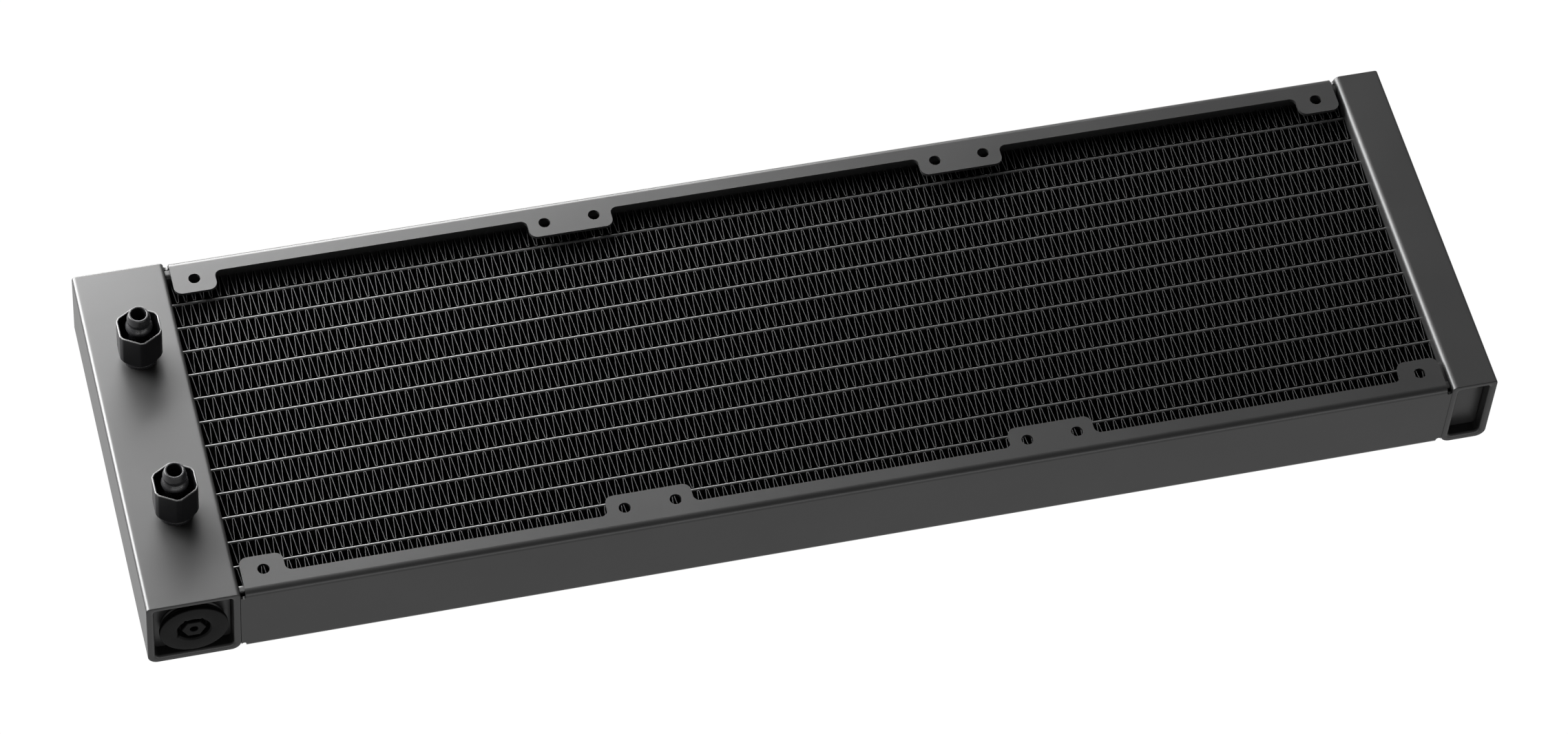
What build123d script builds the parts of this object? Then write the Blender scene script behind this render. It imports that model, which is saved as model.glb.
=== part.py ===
# Liquid cooling radiator: two tanks joined by a core of flat tubes and folded fins, with
# folded side plates, two hose fittings and a screwed service plug.
# Frame: X runs along the tubes, Y across them, Z up. The origin is under the middle.
from build123d import *
import math
import os

os.makedirs("parts", exist_ok=True)

# Overall sizes in millimetres
width = 120.0                       # across the tubes, along each tank
height = 27.0                       # tanks and side plates
left_tank = (-201.0, -174.0)        # outer faces of the wide tank along X
right_tank = (187.0, 201.0)         # outer faces of the narrow tank along X
hole_middle_x = 6.5                 # middle of the fan hole pattern

# Tanks: rectangular tubes, closed by recessed end caps
side_wall = 2.2
top_wall = 1.6
bottom_wall = 2.4
top_corner = 1.8
bottom_corner = 3.0
inner_corner = 1.3
cap_face = 56.4                     # outer face of an end cap, from the middle
cap_thickness = 2.0
baffle_thickness = 1.6

# Core: twelve tubes with thirteen fin strips between and outside them
tube_count = 12
tube_pitch = 8.6
tube_thickness = 1.08
tube_wall = 0.25
core_bottom = 4.4
core_top = 22.6
tube_entry = 1.0                    # how far a tube end passes through the tank wall
braze_gap = 0.04                    # round a tube end in its slot
fin_period = 2.5
fin_count = 144                     # full waves in a strip
fin_start = -173.066                # first crest along X
fin_sheet = 0.15
fin_bend = 0.3                      # bend radius on the middle of the sheet

# Side plates: channels that wrap the long sides, with tabs for the fan screws
sheet = 1.0
outer_bend = 2.0
flange_edge = 54.2                  # free edge of a flange, from the middle
tab_edge = 47.7                     # free edge of a tab
tab_corner = 2.5
tab_root = 2.0
corner_tab = (166.3, 179.0)         # from the hole pattern's middle
double_tab = (47.35, 72.65)
screw_radius = 1.75
screw_rows = 52.5
screw_columns = (52.5, 67.5, 172.5)
relief_width = 1.5
relief_depth = 2.5

# Side rails: smaller channels between the core and the side plates
rail_tip = 58.05
rail_top = 25.55
rail_bend = 1.2

# Hose fittings on the wide tank; heights are above the tank's top
fitting_x = -186.5
fitting_rows = 28.0
bore_radius = 2.23
journal_radius = 3.96
sleeve_hole = 4.0
sleeve_flats = 12.4
sleeve_corners = 13.5
sleeve_wall = 0.5
sleeve_bottom = 1.6
sleeve_floor = 3.6
sleeve_top = 14.6
sleeve_foot = 5.0                   # radius under the chamfer
clip_bottom = 3.9
clip_thickness = 0.4
stem_tip = 20.2

# Service plug in the front end of the wide tank
plug_x = -187.5
plug_z = 13.4
plug_face = 59.9
plug_back = 58.6
plug_radius = 9.9
shank_radius = 6.0
shank_end = 49.5
socket_radius = 4.75
socket_depth = 3.0
post_corners = 7.1
post_hole = 1.2
thread_clearance = 0.08
gasket_front = 58.3
gasket_back = 57.5
boss_face = 57.2
ring_radius = 9.4

core_edge = tube_pitch * (tube_count + 1) / 2 - tube_thickness / 2
left_inside = left_tank[1] - side_wall
right_inside = right_tank[0] + side_wall


def save(piece, name):
    piece.part.label = name
    export_step(piece.part, f"parts/{name}.step", write_pcurves=False)


# A tank's cross section, grown inwards by the wall when it is the cavity
def tank_section(sides, cavity):
    inset = side_wall if cavity else 0
    low = bottom_wall if cavity else 0
    high = height - top_wall if cavity else height
    with BuildSketch(Plane.XZ.offset(-width / 2)) as outline:
        with Locations(((sides[0] + sides[1]) / 2, (low + high) / 2)):
            Rectangle(sides[1] - sides[0] - 2 * inset, high - low)
        fillet(outline.vertices().group_by(Axis.Y)[0], inner_corner if cavity else bottom_corner)
        fillet(outline.vertices().group_by(Axis.Y)[-1], inner_corner if cavity else top_corner)
    return outline.sketch


# A plate that fills a tank's cavity between two stations along Y
def cavity_plate(sides, y_from, y_to):
    with BuildSketch(Plane.XZ.offset(-y_to)) as outline:
        with Locations(((sides[0] + sides[1]) / 2, (bottom_wall + height - top_wall) / 2)):
            Rectangle(sides[1] - sides[0] - 2 * side_wall, height - top_wall - bottom_wall)
        fillet(outline.vertices(), inner_corner)
    extrude(outline.sketch, amount=y_to - y_from)


def tube_stations():
    return [(n - (tube_count - 1) / 2) * tube_pitch for n in range(tube_count)]


# Slots through a tank's inner wall, one for each tube
def cut_tube_slots(x_from, x_to):
    with BuildSketch(Plane.YZ.offset(x_from)) as slots:
        with Locations([(y, (core_bottom + core_top) / 2) for y in tube_stations()]):
            SlotOverall(core_top - core_bottom + 2 * braze_gap,
                        tube_thickness + 2 * braze_gap, rotation=90)
    extrude(slots.sketch, amount=x_to - x_from, mode=Mode.SUBTRACT)


def make_shell(sides):
    extrude(tank_section(sides, cavity=False), amount=width)
    extrude(tank_section(sides, cavity=True), amount=width, mode=Mode.SUBTRACT)


# ---- tanks ----
with BuildPart() as left_tank_shell:
    make_shell(left_tank)
    cut_tube_slots(left_inside - 0.5, left_tank[1] + 0.5)
    with BuildSketch(Plane.XY.offset(height + 1)):
        with Locations((fitting_x, fitting_rows), (fitting_x, -fitting_rows)):
            Circle(3.6)
    extrude(amount=-top_wall - 2, mode=Mode.SUBTRACT)
save(left_tank_shell, "left_tank_shell")

with BuildPart() as right_tank_shell:
    make_shell(right_tank)
    cut_tube_slots(right_tank[0] - 0.5, right_inside + 0.5)
save(right_tank_shell, "right_tank_shell")

with BuildPart() as left_cap_front:
    cavity_plate(left_tank, -cap_face, -cap_face + cap_thickness)
    with BuildSketch(Plane.XZ.offset(cap_face)):
        with Locations((plug_x, plug_z)):
            Circle(ring_radius)
    extrude(amount=boss_face - cap_face)
    with BuildSketch(Plane.XZ.offset(boss_face)):
        with Locations((plug_x, plug_z)):
            Circle(shank_radius + thread_clearance)
    extrude(amount=-4, mode=Mode.SUBTRACT)
save(left_cap_front, "left_cap_front")

with BuildPart() as left_cap_rear:
    cavity_plate(left_tank, cap_face - cap_thickness, cap_face)
save(left_cap_rear, "left_cap_rear")

with BuildPart() as right_cap_front:
    cavity_plate(right_tank, -cap_face, -cap_face + cap_thickness)
save(right_cap_front, "right_cap_front")

with BuildPart() as right_cap_rear:
    cavity_plate(right_tank, cap_face - cap_thickness, cap_face)
save(right_cap_rear, "right_cap_rear")

# The baffle keeps the coolant of the two fittings apart inside the wide tank
with BuildPart() as tank_baffle:
    cavity_plate(left_tank, -baffle_thickness / 2, baffle_thickness / 2)
save(tank_baffle, "tank_baffle")

# ---- flat tubes ----
tube_length = right_inside - left_inside + 2 * tube_entry
for number, y in enumerate(reversed(tube_stations()), start=1):
    with BuildPart() as flat_tube:
        with BuildSketch(Plane.YZ.offset(left_inside - tube_entry)):
            with Locations((y, (core_bottom + core_top) / 2)):
                SlotOverall(core_top - core_bottom, tube_thickness, rotation=90)
                SlotOverall(core_top - core_bottom - 2 * tube_wall,
                            tube_thickness - 2 * tube_wall, rotation=90, mode=Mode.SUBTRACT)
        extrude(amount=tube_length)
    save(flat_tube, f"flat_tube_{number:02d}")

# ---- folded fin strips ----
# Legs lean by an angle so that each is tangent to the bends at both of its ends
fin_height = tube_pitch - tube_thickness
bend_centre = (fin_height - fin_sheet) / 2 - fin_bend
half_wave = fin_period / 2
leg_lean = (math.acos(2 * fin_bend / math.hypot(half_wave, 2 * bend_centre))
            - math.atan2(2 * bend_centre, half_wave))


# A point on a bend: its centre, its radius, and an angle in radians
def on_bend(x, y, radius, angle):
    return (x + radius * math.cos(angle), y + radius * math.sin(angle))


# One face of the folded sheet, from the first crest to the last one
def folded_side(crest_radius, valley_radius):
    lean = leg_lean
    quarter = math.pi / 2
    start = on_bend(fin_start, bend_centre, crest_radius, quarter)
    leg_top = on_bend(fin_start, bend_centre, crest_radius, lean)
    middle = on_bend(fin_start, bend_centre, crest_radius, (quarter + lean) / 2)
    ThreePointArc(start, middle, leg_top)
    for wave in range(fin_count):
        valley_x = fin_start + wave * fin_period + half_wave
        crest_x = valley_x + half_wave
        leg_foot = on_bend(valley_x, -bend_centre, valley_radius, math.pi + lean)
        Line(leg_top, leg_foot)
        next_foot = on_bend(valley_x, -bend_centre, valley_radius, -lean)
        ThreePointArc(leg_foot, (valley_x, -bend_centre - valley_radius), next_foot)
        crest_in = on_bend(crest_x, bend_centre, crest_radius, math.pi - lean)
        Line(next_foot, crest_in)
        apex = (crest_x, bend_centre + crest_radius)
        if wave == fin_count - 1:
            middle = on_bend(crest_x, bend_centre, crest_radius, (3 * quarter - lean) / 2)
            ThreePointArc(crest_in, middle, apex)
            return start, apex
        leg_top = on_bend(crest_x, bend_centre, crest_radius, lean)
        ThreePointArc(crest_in, apex, leg_top)


with BuildPart() as folded_strip:
    with BuildSketch(Plane.XY.offset(core_bottom)):
        with BuildLine():
            upper = folded_side(fin_bend + fin_sheet / 2, fin_bend - fin_sheet / 2)
            lower = folded_side(fin_bend - fin_sheet / 2, fin_bend + fin_sheet / 2)
            Line(upper[0], lower[0])
            Line(upper[1], lower[1])
        make_face()
    extrude(amount=core_top - core_bottom)

for number in range(1, tube_count + 2):
    strip_y = (tube_count / 2 + 1 - number) * tube_pitch
    with BuildPart() as fin_strip:
        add(folded_strip.part.moved(Location((0, strip_y, 0))), clean=False)
    save(fin_strip, f"fin_strip_{number:02d}")


# ---- side plates and side rails ----
# A channel between the tanks: its web's outer face, its flange tips, its ends along Z
def make_channel(web, tip, low, high, bend):
    inwards = sheet if tip > web else -sheet
    with BuildSketch(Plane.YZ.offset(left_tank[1])) as section:
        with BuildLine() as outline:
            outside = FilletPolyline((tip, high), (web, high), (web, low), (tip, low), radius=bend)
            inside = FilletPolyline((tip, low + sheet), (web + inwards, low + sheet),
                                    (web + inwards, high - sheet), (tip, high - sheet),
                                    radius=bend - sheet)
            Line(outside @ 1, inside @ 0)
            Line(inside @ 1, outside @ 0)
        make_face()
    extrude(section.sketch, amount=right_tank[0] - left_tank[1])


# The flange outline with its four tabs, on the side of the given sign
def tabbed_flange(bottom, side):
    inner_edge = side * flange_edge
    root = side * (flange_edge + 1.5)
    ends = corner_tab[1]
    spans = [(-ends, -corner_tab[0]), (-double_tab[1], -double_tab[0]),
             (double_tab[0], double_tab[1]), (corner_tab[0], ends)]
    with BuildSketch(Plane.XY.offset(bottom)) as outline:
        with Locations((hole_middle_x, (inner_edge + root) / 2)):
            Rectangle(2 * ends, abs(root - inner_edge))
        for span in spans:
            middle = (span[0] + span[1]) / 2 + hole_middle_x
            with Locations((middle, side * (tab_edge + flange_edge + 1) / 2)):
                Rectangle(span[1] - span[0], flange_edge + 1 - tab_edge)
        corners = outline.vertices()
        tips = corners.filter_by(lambda v: abs(abs(v.Y) - tab_edge) < 0.01)
        fillet(tips, tab_corner)
        corners = outline.vertices()
        roots = corners.filter_by(lambda v: abs(abs(v.Y) - flange_edge) < 0.01
                                  and abs(v.X - hole_middle_x) < ends - 1)
        fillet(roots, tab_root)
        with Locations([(hole_middle_x + sign * x, side * screw_rows)
                        for x in screw_columns for sign in (-1, 1)]):
            Circle(screw_radius, mode=Mode.SUBTRACT)
    extrude(outline.sketch, amount=sheet)


# Round-bottomed reliefs at the four corners of a channel, beside the tanks
def cut_reliefs():
    radius = relief_width / 2
    for x in (left_tank[1] + radius, right_tank[0] - radius):
        for edge, sign in ((height, -1), (0, 1)):
            floor = edge + sign * (relief_depth - radius)
            with BuildSketch(Plane.XZ.offset(-70)) as relief:
                with Locations((x, floor)):
                    Circle(radius)
                with Locations((x, (floor + edge - sign * 1) / 2)):
                    Rectangle(relief_width, abs(floor - edge) + 1)
            extrude(relief.sketch, amount=140, mode=Mode.SUBTRACT)


def make_side_plate(side):
    make_channel(side * width / 2, side * flange_edge, 0, height, outer_bend)
    tabbed_flange(height - sheet, side)
    tabbed_flange(0, side)
    cut_reliefs()


with BuildPart() as side_plate_front:
    make_side_plate(-1)
save(side_plate_front, "side_plate_front")

with BuildPart() as side_plate_rear:
    make_side_plate(1)
save(side_plate_rear, "side_plate_rear")

with BuildPart() as side_rail_front:
    make_channel(-core_edge, -rail_tip, height - rail_top, rail_top, rail_bend)
save(side_rail_front, "side_rail_front")

with BuildPart() as side_rail_rear:
    make_channel(core_edge, rail_tip, height - rail_top, rail_top, rail_bend)
save(side_rail_rear, "side_rail_rear")

# ---- hose fittings ----
# The stem's outline as radius and height above the tank's top, from its foot to its tip
stem_outline = [
    (bore_radius, -2.6), (3.55, -2.6), (3.55, 0), (5.2, 0), (5.2, 1.3),
    (journal_radius, 1.3), (journal_radius, clip_bottom), (3.4, clip_bottom),
    (3.4, clip_bottom + clip_thickness), (journal_radius, clip_bottom + clip_thickness),
    (journal_radius, 4.9), (3.2, 5.6), (3.2, 12.9), (3.6, 13.5), (3.88, 14.1), (3.94, 14.6),
    (3.88, 15.1), (3.55, 15.9), (3.15, 16.5), (3.15, 17.4), (3.42, 17.6), (3.45, 18.2),
    (2.95, 20.0), (2.8, stem_tip), (bore_radius, stem_tip),
]


def make_stem(y):
    with BuildSketch(Plane.XZ.offset(-y)) as outline:
        with BuildLine():
            Polyline([(fitting_x + r, height + z) for r, z in stem_outline], close=True)
        make_face()
    revolve(outline.sketch, axis=Axis((fitting_x, y, 0), (0, 0, 1)))


# A hexagon with flattened corners, its flats square to X, shrunk by the given inset
def sleeve_section(y, bottom, inset):
    with BuildSketch(Plane.XY.offset(height + bottom)) as section:
        with Locations((fitting_x, y)):
            RegularPolygon(sleeve_flats / 2 - inset, 6, major_radius=False, rotation=30)
            RegularPolygon(sleeve_corners / 2 - inset, 6, major_radius=False, mode=Mode.INTERSECT)
    return section.sketch


# The chamfer under a sleeve is what is left inside a turned cone
def make_sleeve(y):
    extrude(sleeve_section(y, sleeve_bottom, 0), amount=sleeve_top - sleeve_bottom)
    reach = sleeve_foot + 2.4
    turned = ((0, sleeve_bottom), (sleeve_foot, sleeve_bottom), (reach, sleeve_bottom + 2.7),
              (reach, sleeve_top), (0, sleeve_top))
    with BuildSketch(Plane.XZ.offset(-y)) as outline:
        with BuildLine():
            Polyline([(fitting_x + r, height + z) for r, z in turned], close=True)
        make_face()
    revolve(outline.sketch, axis=Axis((fitting_x, y, 0), (0, 0, 1)), mode=Mode.INTERSECT)
    extrude(sleeve_section(y, sleeve_floor, sleeve_wall), amount=sleeve_top - sleeve_floor,
            mode=Mode.SUBTRACT)
    with Locations((fitting_x, y, height + sleeve_bottom)):
        Cylinder(sleeve_hole, 2 * sleeve_floor, mode=Mode.SUBTRACT)


with BuildPart() as fitting_stem_rear:
    make_stem(fitting_rows)
save(fitting_stem_rear, "fitting_stem_rear")

with BuildPart() as fitting_stem_front:
    make_stem(-fitting_rows)
save(fitting_stem_front, "fitting_stem_front")

with BuildPart() as hex_sleeve_rear:
    make_sleeve(fitting_rows)
save(hex_sleeve_rear, "hex_sleeve_rear")

with BuildPart() as hex_sleeve_front:
    make_sleeve(-fitting_rows)
save(hex_sleeve_front, "hex_sleeve_front")

# Two identical spring clips keep the sleeves on their stems
with BuildPart() as sleeve_clips:
    with BuildSketch(Plane.XY.offset(height + clip_bottom)):
        with Locations((fitting_x, fitting_rows), (fitting_x, -fitting_rows)):
            Circle(4.7)
            Circle(3.44, mode=Mode.SUBTRACT)
        with Locations((fitting_x + 5, fitting_rows), (fitting_x + 5, -fitting_rows)):
            Rectangle(5, 3, mode=Mode.SUBTRACT)
    extrude(amount=clip_thickness)
save(sleeve_clips, "sleeve_clips")

# ---- service plug ----
with BuildPart() as service_plug:
    with BuildSketch(Plane.XZ.offset(plug_face)):
        with Locations((plug_x, plug_z)):
            Circle(plug_radius)
    extrude(amount=-(plug_face - plug_back))
    rims = service_plug.edges().filter_by(GeomType.CIRCLE)
    chamfer(rims.group_by(Axis.Y)[0], 0.3)
    with BuildSketch(Plane.XZ.offset(plug_back)):
        with Locations((plug_x, plug_z)):
            Circle(shank_radius)
    extrude(amount=-(plug_back - shank_end))
    with BuildSketch(Plane.XZ.offset(plug_face)):
        with Locations((plug_x, plug_z)):
            Circle(socket_radius)
    extrude(amount=-socket_depth, mode=Mode.SUBTRACT)
    lips = service_plug.edges().filter_by(GeomType.CIRCLE).group_by(Axis.Y)[0]
    chamfer(lips.sort_by(SortBy.RADIUS)[0], 0.5)
    with BuildSketch(Plane.XZ.offset(plug_face - socket_depth)):
        with Locations((plug_x, plug_z)):
            RegularPolygon(post_corners / 2, 6)
            Circle(post_hole, mode=Mode.SUBTRACT)
    extrude(amount=socket_depth - 0.2)
save(service_plug, "service_plug")

with BuildPart() as plug_gasket:
    with BuildSketch(Plane.XZ.offset(gasket_front)):
        with Locations((plug_x, plug_z)):
            Circle(ring_radius)
            Circle(shank_radius + thread_clearance, mode=Mode.SUBTRACT)
    extrude(amount=-(gasket_front - gasket_back))
save(plug_gasket, "plug_gasket")
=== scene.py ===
import bpy
import bmesh
import numpy as np
from mathutils import Matrix, Vector


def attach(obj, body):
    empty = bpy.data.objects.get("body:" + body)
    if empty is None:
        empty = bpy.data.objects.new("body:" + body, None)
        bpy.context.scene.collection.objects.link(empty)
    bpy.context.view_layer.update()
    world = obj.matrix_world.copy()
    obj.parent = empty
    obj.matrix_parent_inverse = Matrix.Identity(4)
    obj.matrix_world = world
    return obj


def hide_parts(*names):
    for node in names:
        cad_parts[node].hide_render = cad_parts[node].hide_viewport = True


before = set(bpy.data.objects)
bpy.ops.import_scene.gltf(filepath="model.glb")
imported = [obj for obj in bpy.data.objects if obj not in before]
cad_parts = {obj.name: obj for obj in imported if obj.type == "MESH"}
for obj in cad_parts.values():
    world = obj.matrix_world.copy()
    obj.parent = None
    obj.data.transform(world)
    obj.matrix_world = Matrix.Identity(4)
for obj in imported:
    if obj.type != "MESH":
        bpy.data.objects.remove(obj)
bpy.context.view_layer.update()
scene = bpy.context.scene
mm = 0.001
print("frame loaded:", len(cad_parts), "nodes")


# distances in metres: points this close are one, and shorter edges than the second vanish
meshLimits = {"merge": 5e-7, "vanish": 1e-7, "cadMerge": 1e-6, "flatAngle": 0.4, "cadSharp": 30}


def gridFaces(rows, columns, closeRows, first):
    # quads between neighbouring rows and columns of a grid whose columns close into rings
    r = np.arange(rows if closeRows else rows - 1)
    r, c = np.meshgrid(r, np.arange(columns), indexing="ij")
    nextRow, nextColumn = (r + 1) % rows, (c + 1) % columns
    corners = [r * columns + c, r * columns + nextColumn,
               nextRow * columns + nextColumn, nextRow * columns + c]
    return np.stack(corners, -1).reshape(-1, 4) + first


def tidyMesh(mesh, sharpAngle):
    # closes seams and poles, turns every face outwards, and shades smooth between sharp edges
    work = bmesh.new()
    work.from_mesh(mesh)
    bmesh.ops.remove_doubles(work, verts=work.verts, dist=meshLimits["merge"])
    bmesh.ops.dissolve_degenerate(work, edges=work.edges, dist=meshLimits["vanish"])
    bmesh.ops.recalc_face_normals(work, faces=work.faces)
    work.to_mesh(mesh)
    work.free()
    mesh.polygons.foreach_set("use_smooth", np.ones(len(mesh.polygons), dtype=bool))
    mesh.set_sharp_from_angle(angle=np.radians(sharpAngle))


def surfacePiece(name, *grids, closeRows=False, sharpAngle=32):
    # grids of points in mm become one mesh; their columns always close into rings
    points, quads, first = [], [], 0
    for grid in grids:
        rows, columns = grid.shape[:2]
        points.append(grid.reshape(-1, 3) * mm)
        quads.append(gridFaces(rows, columns, closeRows, first))
        first += rows * columns
    mesh = bpy.data.meshes.new(name)
    mesh.from_pydata(np.concatenate(points).tolist(), [], np.concatenate(quads).tolist())
    tidyMesh(mesh, sharpAngle)
    piece = bpy.data.objects.new(name, mesh)
    scene.collection.objects.link(piece)
    return piece


def mergedCopy(name, node):
    # a CAD node's mesh with its loose triangles merged back into whole flat faces
    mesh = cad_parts[node].data.copy()
    mesh.name = name
    work = bmesh.new()
    work.from_mesh(mesh)
    bmesh.ops.remove_doubles(work, verts=work.verts, dist=meshLimits["cadMerge"])
    bmesh.ops.dissolve_limit(work, angle_limit=np.radians(meshLimits["flatAngle"]),
                             verts=work.verts, edges=work.edges)
    work.to_mesh(mesh)
    work.free()
    tidyMesh(mesh, meshLimits["cadSharp"])
    piece = bpy.data.objects.new(name, mesh)
    scene.collection.objects.link(piece)
    return piece


def easeEdges(piece, width, angle=35):
    # the thickness of the coat rounds every sheared edge a little, and the flats beside it stay
    # flat in their shading
    bevel = piece.modifiers.new("easedEdges", "BEVEL")
    bevel.width = width * mm
    bevel.segments = 2
    bevel.limit_method = "ANGLE"
    bevel.angle_limit = np.radians(angle)
    flats = piece.modifiers.new("flatsStayFlat", "WEIGHTED_NORMAL")
    flats.keep_sharp = True


def settle(piece, body, slotName, material, *nodes):
    # puts a finished piece on its body, in place of the CAD nodes that it stands for
    piece.data.materials.clear()
    piece.data.materials.append(material)
    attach(piece, body)
    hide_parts(*nodes)


def coatNodes(material, *nodes):
    # CAD nodes that stay as they are get their finished material
    for node in nodes:
        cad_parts[node].data.materials.clear()
        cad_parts[node].data.materials.append(material)


def arc(centre, radius, fromAngle, toAngle, steps):
    # points along a circular arc in a plane, angles in degrees
    a = np.radians(np.linspace(fromAngle, toAngle, steps + 1))
    return np.stack([centre[0] + radius * np.cos(a), centre[1] + radius * np.sin(a)], -1)


def softened(points, reach, steps=4):
    # each inner corner of an open outline becomes a short curve that starts and ends one reach
    # away from it, or less where a side is too short for that
    points = np.asarray(points, float)
    before, corner, after = points[:-2], points[1:-1], points[2:]
    reach = np.broadcast_to(np.asarray(reach, float), len(corner))[:, None]
    toBefore, toAfter = before - corner, after - corner
    lengthBefore = np.linalg.norm(toBefore, axis=1, keepdims=True)
    lengthAfter = np.linalg.norm(toAfter, axis=1, keepdims=True)
    cut = np.minimum(reach, 0.45 * np.minimum(lengthBefore, lengthAfter))
    start = corner + toBefore / lengthBefore * cut
    end = corner + toAfter / lengthAfter * cut
    t = np.linspace(0, 1, steps + 1)[None, :, None]
    curve = ((1 - t) ** 2 * start[:, None] + 2 * t * (1 - t) * corner[:, None]
             + t ** 2 * end[:, None])
    return np.concatenate([points[:1], curve.reshape(-1, 2), points[-1:]])


def turned(profile, centre, columns=96):
    # an outline of radius and height, turned about the upright line through centre
    a = np.linspace(0, 2 * np.pi, columns, endpoint=False)
    radius, height = profile[:, :1], profile[:, 1:]
    return np.stack([centre[0] + radius * np.cos(a), centre[1] + radius * np.sin(a),
                     height + 0 * a], -1)


def laidDown(grid, x, z):
    # turns a grid made about an upright line so that its height runs along -Y, through x and z
    return np.stack([x + grid[..., 0], -grid[..., 2], z + grid[..., 1]], -1)


def linear(hexColour):
    # sRGB hex to linear red, green, blue and alpha
    c = np.array([int(hexColour[i:i + 2], 16) for i in (1, 3, 5)]) / 255
    c = np.where(c <= 0.04045, c / 12.92, ((c + 0.055) / 1.055) ** 2.4)
    return (*c.tolist(), 1.0)


def addNode(tree, kind, settings=None, inputs=None):
    # one shader node: its settings, then its inputs, each a value or another node's output
    node = tree.nodes.new(kind)
    for key, value in (settings or {}).items():
        setattr(node, key, value)
    for key, value in (inputs or {}).items():
        if isinstance(value, bpy.types.NodeSocket):
            tree.links.new(value, node.inputs[key])
        else:
            node.inputs[key].default_value = value
    return node


# how much the grit joins in the drift of colour, the span of their sum that goes from dark to
# light, and the span of the grit alone that goes from the least to the most rough
pattern = {"gritShare": 0.6, "colourSpan": (0.55, 1.05), "glossSpan": (0.3, 0.7),
           "gritDetail": 2.0, "driftDetail": 3.0}


def coating(name, look):
    # a dark coat with a fine grit that breaks up its gloss, and a slow drift in its depth of
    # colour; where edges are given, as a middle height, half the height between the edges and the
    # width of a band, those edges get a lighter colour and an IOR of their own, a painted
    # highlight
    material = bpy.data.materials.new(name)
    material.use_nodes = True
    tree = material.node_tree
    tree.nodes.clear()
    place = addNode(tree, "ShaderNodeTexCoord").outputs["Object"]
    grit = addNode(tree, "ShaderNodeTexNoise", inputs={
        "Vector": place, "Scale": 1 / (look["gritMm"] * mm),
        "Detail": pattern["gritDetail"]}).outputs["Fac"]
    drift = addNode(tree, "ShaderNodeTexNoise", inputs={
        "Vector": place, "Scale": 1 / (look["driftMm"] * mm),
        "Detail": pattern["driftDetail"]}).outputs["Fac"]
    depth = addNode(tree, "ShaderNodeMath", {"operation": "MULTIPLY_ADD"}, {
        0: grit, 1: pattern["gritShare"], 2: drift}).outputs[0]
    share = addNode(tree, "ShaderNodeMapRange", inputs={
        "Value": depth, "From Min": pattern["colourSpan"][0],
        "From Max": pattern["colourSpan"][1]}).outputs[0]
    # inputs 6 and 7 of a mix of colours are its two colours, and output 2 is the mix
    colour = addNode(tree, "ShaderNodeMix", {"data_type": "RGBA"}, {
        "Factor": share, 6: linear(look["dark"]), 7: linear(look["light"])}).outputs[2]
    gloss = addNode(tree, "ShaderNodeMapRange", inputs={
        "Value": grit, "From Min": pattern["glossSpan"][0], "From Max": pattern["glossSpan"][1],
        "To Min": look["roughness"] - look["spread"],
        "To Max": look["roughness"] + look["spread"]}).outputs[0]
    bump = addNode(tree, "ShaderNodeBump", inputs={
        "Height": grit, "Strength": look["bump"],
        "Distance": look["reliefMm"] * mm}).outputs[0]
    ior = look.get("ior", 1.5)
    # painted highlight: near each edge the colour is mixed toward a lighter one and the IOR is
    # changed
    if "edges" in look:
        middle, half, band = (value * mm for value in look["edges"])
        height = addNode(tree, "ShaderNodeSeparateXYZ", inputs={"Vector": place}).outputs["Z"]
        offset = addNode(tree, "ShaderNodeMath", {"operation": "SUBTRACT"}, {
            0: height, 1: middle}).outputs[0]
        reach = addNode(tree, "ShaderNodeMath", {"operation": "ABSOLUTE"}, {0: offset}).outputs[0]
        onHighlightEdge = addNode(tree, "ShaderNodeMapRange", inputs={
            "Value": reach, "From Min": half - band, "From Max": half - band / 4}).outputs[0]
        ior = addNode(tree, "ShaderNodeMapRange", inputs={
            "Value": onHighlightEdge, "To Min": look["ior"], "To Max": look["edgeHighlightIor"]}).outputs[0]
        colour = addNode(tree, "ShaderNodeMix", {"data_type": "RGBA"}, {
            "Factor": onHighlightEdge, 6: colour, 7: linear(look["edgeHighlightColour"])}).outputs[2]
    shader = addNode(tree, "ShaderNodeBsdfPrincipled", inputs={
        "Base Color": colour, "Roughness": gloss, "Normal": bump,
        "Metallic": look.get("metallic", 0.0), "IOR": ior}).outputs[0]
    addNode(tree, "ShaderNodeOutputMaterial", inputs={"Surface": shader})
    return material


# each coat's IOR is matched to how little light the real one returns, below its typical 1.5

# epoxy powder, baked on aluminium: satin, with a very fine orange peel
powderCoat = coating("baked powder coat", {
    "dark": "#121212", "light": "#181818", "roughness": 0.4, "spread": 0.015,
    "gritMm": 0.25, "driftMm": 30.0, "bump": 0.3, "reliefMm": 0.006, "ior": 1.345})
# thin black paint sprayed on the brazed core; the crests of the tubes are painted lighter, a
# painted highlight
tubePaintWithCrestHighlight = coating("sprayed tube paint with painted crest highlights", {
    "dark": "#0f0f0f", "light": "#171717", "roughness": 0.3, "spread": 0.02,
    "gritMm": 3.0, "driftMm": 20.0, "bump": 0.03, "reliefMm": 0.004,
    "ior": 1.36, "edgeHighlightIor": 1.34, "edgeHighlightColour": "#282828", "edges": (13.5, 9.1, 0.3)})
# the same paint on thin rolled sheet, its colour darkened to near black as painted shade where
# next to no light comes back between the folds, with painted highlights on their cut edges
finPaintWithShade = coating("sprayed fin paint with painted shade and edge highlights", {
    "dark": "#020202", "light": "#050505", "roughness": 0.4, "spread": 0.03,
    "gritMm": 0.8, "driftMm": 14.0, "bump": 0.1, "reliefMm": 0.006,
    "ior": 1.04, "edgeHighlightIor": 1.2, "edgeHighlightColour": "#2e2e2e", "edges": (13.5, 9.1, 0.16)})
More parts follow.
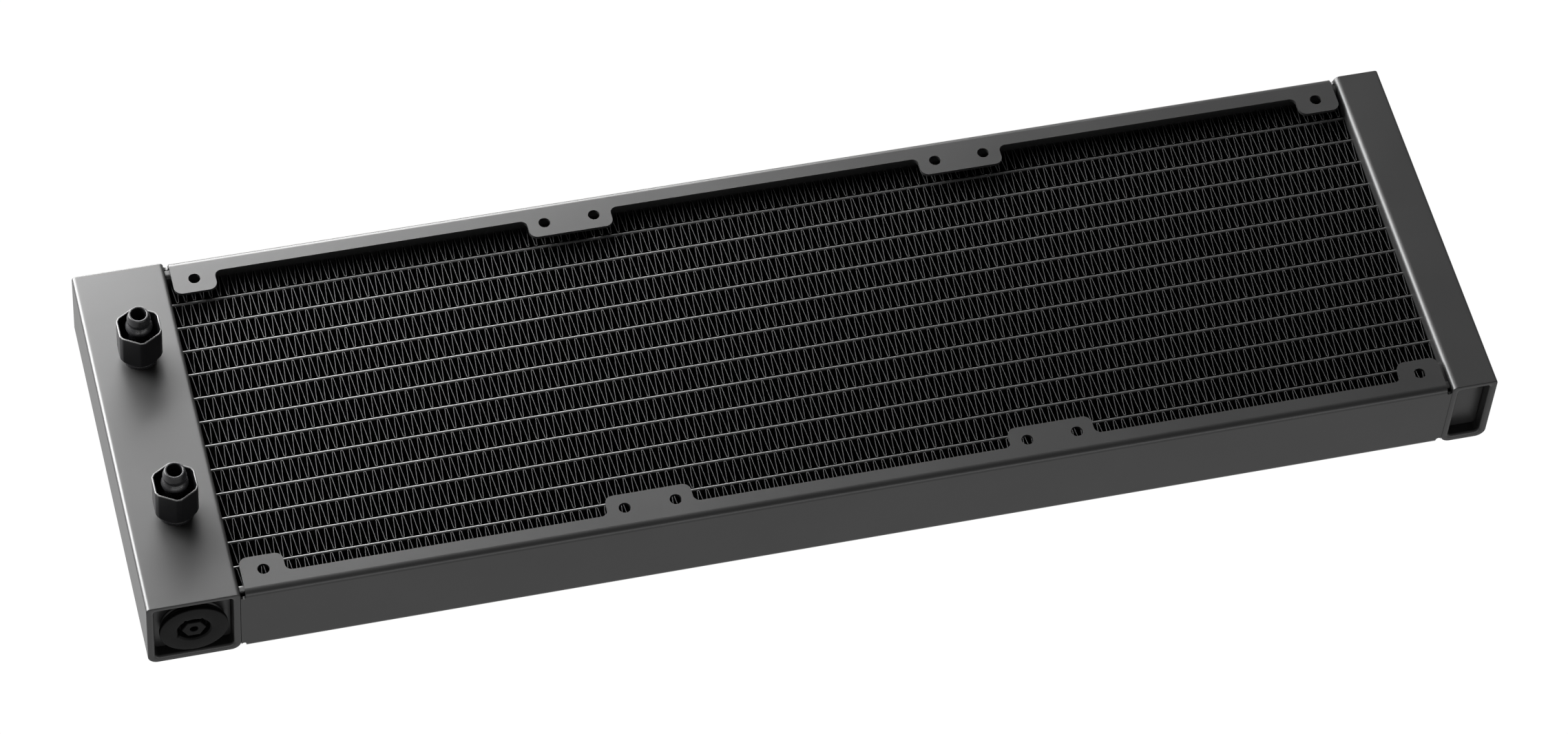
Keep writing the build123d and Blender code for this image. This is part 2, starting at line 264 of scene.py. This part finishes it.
# turned brass with a black plating, smooth enough to carry a clear highlight
blackPlating = coating("black plating on turned brass", {
    "dark": "#101011", "light": "#161617", "roughness": 0.28, "spread": 0.04,
    "gritMm": 0.3, "driftMm": 4.0, "bump": 0.3, "reliefMm": 0.008, "ior": 1.3})
# aluminium sleeves, anodised black after a light bead blast, with a painted highlight on the top
# rim
blackAnodisedWithRimHighlight = coating("black anodised aluminium with painted rim highlight", {
    "dark": "#060607", "light": "#0b0b0c", "roughness": 0.4, "spread": 0.04,
    "gritMm": 0.2, "driftMm": 5.0, "bump": 0.4, "reliefMm": 0.01,
    "ior": 1.26, "edgeHighlightIor": 1.42, "edgeHighlightColour": "#303030", "edges": (33.6, 8.0, 0.3)})
# moulded nylon from a matte tool
mouldedNylon = coating("moulded black nylon", {
    "dark": "#060606", "light": "#0a0a0a", "roughness": 0.5, "spread": 0.05,
    "gritMm": 0.3, "driftMm": 6.0, "bump": 0.4, "reliefMm": 0.015, "ior": 1.13})
# pressed nitrile sealing ring
sealRubber = coating("pressed nitrile rubber", {
    "dark": "#070707", "light": "#0c0c0c", "roughness": 0.68, "spread": 0.05,
    "gritMm": 0.3, "driftMm": 5.0, "bump": 0.5, "reliefMm": 0.02, "ior": 1.3})
# hardened spring wire sheet with a dark oxide
oxidisedSteel = coating("dark oxide on spring steel", {
    "dark": "#1a1a1b", "light": "#262627", "roughness": 0.36, "spread": 0.05,
    "gritMm": 0.2, "driftMm": 3.0, "bump": 0.3, "reliefMm": 0.008, "metallic": 0.6})
# mill finish inside the tank, never painted
millAluminium = coating("mill finish aluminium", {
    "dark": "#8d8f92", "light": "#a5a7aa", "roughness": 0.34, "spread": 0.06,
    "gritMm": 0.4, "driftMm": 12.0, "bump": 0.3, "reliefMm": 0.01, "metallic": 1.0})
print("materials made")

# sizes in mm; a lip and an edge round the wall's end inside and outside
tank = {"halfWidth": 60.0, "height": 27.0, "sideWall": 2.2, "topWall": 1.6, "bottomWall": 2.4,
        "bottomCorner": 3.0, "innerCorner": 1.3, "lip": 0.9, "edge": 0.35,
        "guard": 0.15, "capFace": 56.4, "capBack": 54.4, "capEdge": 0.4}
# the faces of each tank along X, then the radii of its two top corners in the same order
tankSides = {"left": (-201.0, -174.0, 1.2, 1.2), "right": (187.0, 201.0, 1.8, 0.8)}


def tankOutline(sides, depth):
    # the rounded rectangle at this share of the wall's depth: 0 is its outside, 1 the cavity
    x0, x1 = sides[0] + tank["sideWall"] * depth, sides[1] - tank["sideWall"] * depth
    z0, z1 = tank["bottomWall"] * depth, tank["height"] - tank["topWall"] * depth
    left, right, low = (radius + (tank["innerCorner"] - radius) * depth
                        for radius in (*sides[2:], tank["bottomCorner"]))
    corners = [arc((x1 - right, z1 - right), right, 0, 90, 10),
               arc((x0 + left, z1 - left), left, 90, 180, 10),
               arc((x0 + low, z0 + low), low, 180, 270, 10),
               arc((x1 - low, z0 + low), low, 270, 360, 10)]
    # stations along the flat between two corners, the first and last close to them
    share = np.array([0.02, 0.2, 0.4, 0.6, 0.8, 0.98])[:, None]
    runs = [here[-1] + (there[0] - here[-1]) * share
            for here, there in zip(corners, corners[1:] + corners[:1])]
    return np.concatenate([part for pair in zip(corners, runs) for part in pair])


def standing(outline, y):
    # an outline in X and Z, stood at station y
    return np.stack([outline[:, 0], np.broadcast_to(y, len(outline)), outline[:, 1]], -1)


def tankShell(name, sides):
    # rings along one closed path: out of the cavity, round the lip and the outer edge, along the
    # outside, and back in at the other end; depth and station follow a quarter circle at each,
    # with a guard station just past it that keeps the flat beside it flat in its shading
    a = np.radians(np.linspace(0, 90, 7))
    lip, edge = tank["lip"] / tank["sideWall"], tank["edge"] / tank["sideWall"]
    depth = np.concatenate([[1.0, 1.0], 1 - lip * (1 - np.cos(a)), edge * (1 - np.sin(a)), [0.0]])
    station = np.concatenate([[tank["capBack"], tank["halfWidth"] - tank["lip"] - tank["guard"]],
                              tank["halfWidth"] - tank["lip"] * (1 - np.sin(a)),
                              tank["halfWidth"] - tank["edge"] * (1 - np.cos(a)),
                              [tank["halfWidth"] - tank["edge"] - tank["guard"]]])
    depth = np.concatenate([depth, depth[::-1]])
    station = np.concatenate([-station, station[::-1]])
    rings = np.stack([standing(tankOutline(sides, d), y) for d, y in zip(depth, station)])
    return surfacePiece(name, rings, closeRows=True)


def endCap(name, sides, sign, boss=None):
    # rings from the middle, or from the boss's threaded hole, out to the cavity's outline
    outline = tankOutline(sides, 1.0)
    middle = outline.mean(axis=0) if boss is None else np.array([boss["x"], boss["z"]])
    away = outline - middle
    unit = away / np.linalg.norm(away, axis=1, keepdims=True)
    a = np.radians(np.linspace(0, 90, 6))
    face, back, soft = tank["capFace"], tank["capBack"], tank["capEdge"]
    rings = [standing(outline - unit * soft * (1 - np.sin(t)),
                      sign * (face - soft * (1 - np.cos(t)))) for t in a]
    rings.append(standing(outline, sign * back))
    if boss is None:
        centre = np.repeat(middle[None], len(outline), axis=0)
        rings = [standing(centre, sign * face)] + rings + [standing(centre, sign * back)]
        return surfacePiece(name, np.stack(rings))
    hole, ring, proud, soft = boss["hole"], boss["ring"], boss["face"], boss["soft"]
    steps = [(hole, back), (hole, proud - soft), (hole + soft, proud), (ring - soft, proud),
             (ring, proud - soft), (ring, face)]
    rings = [standing(middle + unit * radius, sign * y) for radius, y in steps] + rings
    return surfacePiece(name, np.stack(rings), closeRows=True)


plugSeat = {"x": -187.5, "z": 13.4, "hole": 6.08, "ring": 9.4, "face": 57.2, "soft": 0.3}
for side, sides in tankSides.items():
    settle(tankShell(side + "Tank", sides), "radiator", "tank_coat", powderCoat,
           side + "_tank_shell")
    for end, sign in (("front", -1), ("rear", 1)):
        boss = plugSeat if (side, end) == ("left", "front") else None
        cap = endCap(side + end.capitalize() + "Cap", sides, sign, boss)
        settle(cap, "radiator", "tank_coat", powderCoat, side + "_cap_" + end)
coatNodes(millAluminium, "tank_baffle")
print("tanks made")

# sizes in mm; the waves start at the first crest and end one period past the last one
core = {"strips": 13, "pitch": 8.6, "tube": 1.08, "bottom": 4.4, "top": 22.6, "period": 2.5,
        "waves": 144, "firstCrest": -173.066, "sheet": 0.15, "bend": 0.3}


def foldedStrip(name, y):
    # a thin ribbon on edge, carried along a wave of round bends joined by straight legs; a leg
    # leans by the angle that makes it tangent to the bends at its ends
    half = core["period"] / 2
    rise = (core["pitch"] - core["tube"] - core["sheet"]) / 2 - core["bend"]
    lean = np.arccos(2 * core["bend"] / np.hypot(half, 2 * rise)) - np.arctan2(2 * rise, half)
    turn = np.linspace(np.pi - lean, lean, 7)
    crest = np.stack([core["bend"] * np.cos(turn), rise + core["bend"] * np.sin(turn)], -1)
    valley = np.stack([half + core["bend"] * np.cos(turn), -rise - core["bend"] * np.sin(turn)],
                      -1)
    wave = np.concatenate([crest, valley])
    acrossCrest = np.stack([np.cos(turn), np.sin(turn)], -1)
    acrossValley = acrossCrest * [-1, 1]
    across = np.concatenate([acrossCrest, acrossValley])
    shift = core["firstCrest"] + core["period"] * np.arange(core["waves"])
    path = (wave[None] + np.stack([shift, 0 * shift + y], -1)[:, None]).reshape(-1, 2)
    across = np.tile(across, (core["waves"], 1))
    # the strip starts and ends at the top of a crest, the fourth of its seven points
    path = np.concatenate([path[3:], path[:4] + [core["period"] * core["waves"], 0]])
    across = np.concatenate([across[3:], across[:4]])
    thick = np.full((len(path), 1), core["sheet"] / 2)
    # a ring of no thickness closes each end
    path = np.concatenate([path[:1], path, path[-1:]])
    across = np.concatenate([across[:1], across, across[-1:]])
    thick = np.concatenate([[[0.0]], thick, [[0.0]]])
    upper, lower = path + across * thick, path - across * thick
    corners = [np.insert(side, 2, z, axis=1) for side, z in (
        (upper, core["bottom"]), (upper, core["top"]),
        (lower, core["top"]), (lower, core["bottom"]))]
    return surfacePiece(name, np.stack(corners, 1), sharpAngle=45)


for number in range(core["strips"]):
    strip = foldedStrip("foldedFins%02d" % (number + 1),
                        (core["strips"] // 2 - number) * core["pitch"])
    settle(strip, "radiator", "fin_coat", finPaintWithShade, "fin_strip_%02d" % (number + 1))
for number in range(1, core["strips"]):
    node = "flat_tube_%02d" % number
    tube = mergedCopy("flatTube%02d" % number, node)
    settle(tube, "radiator", "tube_coat", tubePaintWithCrestHighlight, node)
print("core made")

# node, name, and how wide its eased edges are in mm
plates = (("side_plate_front", "frontPlate", 0.18), ("side_plate_rear", "rearPlate", 0.18),
          ("side_rail_front", "frontRail", 0.22), ("side_rail_rear", "rearRail", 0.22))
for node, name, edge in plates:
    plate = mergedCopy(name, node)
    easeEdges(plate, edge)
    settle(plate, "radiator", "plate_coat", powderCoat, node)
print("side plates made")

fitting = {"x": -186.5, "rows": {"rear": 28.0, "front": -28.0}, "base": 27.0}
# the stem in mm: radius, height above the tank and how far the corner is rounded, in a loop from
# the bore's foot up the outside to the tip
stemProfile = np.array([
    (2.23, -2.6, 0.1), (3.55, -2.6, 0.1), (3.55, 0.0, 0.05), (5.2, 0.0, 0.1), (5.2, 1.3, 0.3),
    (3.96, 1.3, 0.1), (3.96, 3.9, 0.1), (3.4, 3.9, 0.05), (3.4, 4.3, 0.05), (3.96, 4.3, 0.1),
    (3.96, 4.9, 0.3), (3.2, 5.6, 0.6), (3.2, 12.9, 0.6), (3.6, 13.5, 0.5), (3.88, 14.1, 0.4),
    (3.94, 14.6, 0.4), (3.88, 15.1, 0.4), (3.55, 15.9, 0.5), (3.15, 16.5, 0.5), (3.15, 17.4, 0.4),
    (3.42, 17.6, 0.2), (3.45, 18.2, 0.4), (2.95, 20.0, 0.3), (2.8, 20.2, 0.15), (2.35, 20.2, 0.1),
    (2.23, 20.05, 0.1)])
sleeve = {"flats": 12.4, "corners": 13.5, "wall": 0.5, "bottom": 1.6, "floor": 3.6, "top": 14.6,
          "foot": 5.0, "cone": (2.4, 2.7), "hole": 4.0, "eased": 0.16}


def hoseStem(name, y):
    # the profile closes on itself through the bore
    loop = np.concatenate([stemProfile, stemProfile[:1]])
    profile = softened(loop[:, :2], loop[1:-1, 2]) + [0, fitting["base"]]
    return surfacePiece(name, turned(profile, (fitting["x"], y)), sharpAngle=40)


def hexSleeve(name, y):
    # plan radius at an angle is that of a hexagon or of the hexagon that cuts off its corners,
    # whichever is smaller; a turned cone cuts the foot, at a height that follows the plan radius
    a = np.radians(np.arange(0, 360, 2.5))
    toFlat = np.radians((np.degrees(a) + 30) % 60 - 30)
    toCorner = np.radians(np.degrees(a) % 60 - 30)

    def plan(inset):
        return np.minimum((sleeve["flats"] / 2 - inset) / np.cos(toFlat),
                          (sleeve["corners"] / 2 - inset) / np.cos(toCorner))

    outer, inner, even = plan(0), plan(sleeve["wall"]), np.ones(len(a))
    out, rise = sleeve["cone"]
    coneTop = sleeve["bottom"] + (outer - sleeve["foot"]) * rise / out
    rows = [(even * sleeve["hole"], even * sleeve["bottom"]),
            (even * sleeve["foot"], even * sleeve["bottom"]), (outer, coneTop),
            (outer, even * sleeve["top"]), (inner, even * sleeve["top"]),
            (inner, even * sleeve["floor"]), (even * sleeve["hole"], even * sleeve["floor"])]
    grid = np.stack([np.stack([fitting["x"] + r * np.cos(a), y + r * np.sin(a),
                               fitting["base"] + z], -1) for r, z in rows])
    piece = surfacePiece(name, grid, closeRows=True, sharpAngle=20)
    easeEdges(piece, sleeve["eased"], 20)
    return piece


for row, y in fitting["rows"].items():
    settle(hoseStem(row + "HoseStem", y), "radiator", "stem_coat", blackPlating,
           "fitting_stem_" + row)
    settle(hexSleeve(row + "HexSleeve", y), row + "_sleeve", "sleeve_coat", blackAnodisedWithRimHighlight,
           "hex_sleeve_" + row)
coatNodes(oxidisedSteel, "sleeve_clips")
print("hose fittings made")

# radii, and stations along -Y, in mm; the post's width is across its corners
plug = {"face": 59.9, "back": 58.6, "radius": 9.9, "shank": 6.0, "end": 49.5, "socket": 4.75,
        "floor": 56.9, "lip": 0.5, "post": 7.1, "postTop": 59.7, "postHole": 1.2, "postSoft": 0.2,
        "holeSoft": 0.15, "threadPitch": 1.5, "threadDepth": 0.42, "notch": 0.45,
        "notchWidth": 9.0, "notchAngles": (62.0, 118.0, 205.0)}
gasket = {"hole": 6.2, "radius": 9.4, "front": 58.3, "back": 57.5, "rounding": 0.3}


def servicePlug(name):
    # the head and shank are turned from the socket's floor to the shank's end; three small
    # notches widen the socket, and the shank's radius follows a helix of one wave per pitch
    head = softened([(0, plug["floor"]), (plug["socket"], plug["floor"]),
                     (plug["socket"], plug["face"] - plug["lip"]),
                     (plug["socket"] + plug["lip"], plug["face"]), (plug["radius"], plug["face"]),
                     (plug["radius"], plug["back"]), (plug["shank"], plug["back"])],
                    [0.1, 0.1, 0.15, 0.35, 0.2])
    run = np.arange(plug["back"] - 0.1, plug["end"], -plug["threadPitch"] / 10)
    shank = np.stack([np.full(len(run), plug["shank"]), run], -1)
    tip = np.array([(plug["shank"] - 0.5, plug["end"]), (0, plug["end"])])
    head, shank, tip = (turned(part, (0, 0), 144) for part in (head, shank, tip))
    angle = np.arctan2(head[..., 1], head[..., 0])
    away = [np.abs((np.degrees(angle) - at + 180) % 360 - 180) for at in plug["notchAngles"]]
    widen = np.clip(1.5 - np.min(away, axis=0) / plug["notchWidth"] * 2, 0, 1) * plug["notch"]
    radius = np.hypot(head[..., 0], head[..., 1])
    wall = (radius > plug["socket"] - 0.2) & (radius < plug["socket"] + plug["lip"] + 0.2)
    head[..., :2] *= np.where(wall, 1 + widen / np.maximum(radius, 1), 1)[..., None]
    angle = np.arctan2(shank[..., 1], shank[..., 0])
    phase = 2 * np.pi * shank[..., 2] / plug["threadPitch"] + angle
    fade = np.clip(np.minimum(shank[..., 2] - plug["end"],
                              plug["back"] - 0.4 - shank[..., 2]), 0, 1)
    cut = plug["threadDepth"] * fade * (0.5 - 0.5 * np.cos(phase))
    shank[..., :2] *= 1 - (cut / plug["shank"])[..., None]
    body = np.concatenate([head, shank, tip])
    a = np.radians(np.arange(0, 360, 5.0))
    hexagon = plug["post"] / 2 * np.cos(np.pi / 6) / np.cos(a % (np.pi / 3) - np.pi / 6)
    even, soft, holeSoft = np.ones(len(a)), plug["postSoft"], plug["holeSoft"]
    foot, top = plug["floor"] - 0.2, plug["postTop"]
    rows = [(hexagon, foot), (hexagon, top - soft), (hexagon - soft, top),
            (even * (plug["postHole"] + holeSoft), top),
            (even * plug["postHole"], top - holeSoft), (even * plug["postHole"], foot)]
    post = np.stack([np.stack([r * np.cos(a), r * np.sin(a), 0 * a + z], -1) for r, z in rows])
    post = np.concatenate([post, post[:1]])
    x, z = plugSeat["x"], plugSeat["z"]
    return surfacePiece(name, laidDown(body, x, z), laidDown(post, x, z), sharpAngle=40)


def sealRing(name):
    # a washer with rounded rims, its outline closed half way up its hole
    hole, radius, front, back = (gasket[key] for key in ("hole", "radius", "front", "back"))
    halfway = (hole, (front + back) / 2)
    loop = [halfway, (hole, front), (radius, front), (radius, back), (hole, back), halfway]
    ring = turned(softened(loop, gasket["rounding"]), (0, 0), 128)
    return surfacePiece(name, laidDown(ring, plugSeat["x"], plugSeat["z"]), sharpAngle=40)


settle(servicePlug("servicePlug"), "plug", "plug_plastic", mouldedNylon, "service_plug")
settle(sealRing("plugSealRing"), "plug_washer", "gasket_rubber", sealRubber, "plug_gasket")
print("service plug made")

# metres and watts; each box has its place, its size and its power, and all of them face one point
studio = {"floorSize": 8.0, "floorDrop": 0.0002, "floorGlow": 1.02, "sky": 0.4,
          "aim": (-0.1, 0.0, 0.02),
          "boxes": {"backSoftBox": ((-0.331, 0.366, 0.246), (1.04, 0.36), 37.0),
                    "leftStripBox": ((-0.394, 0.184, 0.219), (0.10, 0.34), 3.2),
                    "backPanel": ((0.1, 1.6, 2.2), (3.6, 2.4), 14.5),
                    "lowFrontBox": ((0.0, -1.1, 0.05), (2.2, 0.1), 10.0)}}


def addFloor(size):
    # a plain pale sweep that carries its own light, so that nothing on it casts a hard shadow
    half, z = size / 2, -studio["floorDrop"]
    corners = [(-half, -half, z), (half, -half, z), (half, half, z), (-half, half, z)]
    mesh = bpy.data.meshes.new("paleFloor")
    mesh.from_pydata(corners, [], [(0, 1, 2, 3)])
    floor = bpy.data.objects.new("paleFloor", mesh)
    scene.collection.objects.link(floor)
    material = bpy.data.materials.new("white studio paper")
    material.use_nodes = True
    shader = material.node_tree.nodes["Principled BSDF"]
    shader.inputs["Base Color"].default_value = linear("#000000")
    shader.inputs["Specular IOR Level"].default_value = 0.0
    shader.inputs["Roughness"].default_value = 0.9
    shader.inputs["Emission Color"].default_value = linear("#ffffff")
    shader.inputs["Emission Strength"].default_value = studio["floorGlow"]
    mesh.materials.append(material)


def addSoftBox(name, place, size, power):
    # a flat light that faces the aim and shows in reflections but not in the picture itself
    light = bpy.data.lights.new(name, "AREA")
    light.shape = "RECTANGLE"
    light.size, light.size_y = size
    light.energy = power
    box = bpy.data.objects.new(name, light)
    box.location = place
    box.rotation_euler = (Vector(studio["aim"]) - Vector(place)).to_track_quat(
        "-Z", "Y").to_euler()
    box.visible_camera = False
    scene.collection.objects.link(box)


addFloor(studio["floorSize"])
for name, (place, size, power) in studio["boxes"].items():
    addSoftBox(name, place, size, power)
world = bpy.data.worlds.new("paleStudio")
world.use_nodes = True
background = world.node_tree.nodes["Background"]
background.inputs["Color"].default_value = linear("#ffffff")
background.inputs["Strength"].default_value = studio["sky"]
scene.world = world
scene.view_settings.view_transform = "Standard"

# the camera stands before the left end and looks down over the front edge, slightly rolled
view = {"place": (-0.3385, -0.9978, 1.4359), "right": (0.96844, -0.24170, 0.06093),
        "up": (0.16020, 0.79080, 0.59073), "lens": 137.8, "sensor": 36, "far": 50}
lens = bpy.data.cameras.new("camera")
lens.lens = view["lens"]
lens.sensor_width = view["sensor"]
lens.sensor_fit = "HORIZONTAL"
lens.clip_end = view["far"]
camera = bpy.data.objects.new("camera", lens)
right, up = Vector(view["right"]).normalized(), Vector(view["up"]).normalized()
turn = Matrix((right, up, right.cross(up))).transposed().to_4x4()
camera.matrix_world = Matrix.Translation(view["place"]) @ turn
scene.collection.objects.link(camera)
scene.camera = camera
scene.render.resolution_x, scene.render.resolution_y = 2277, 1066
print("stage set")
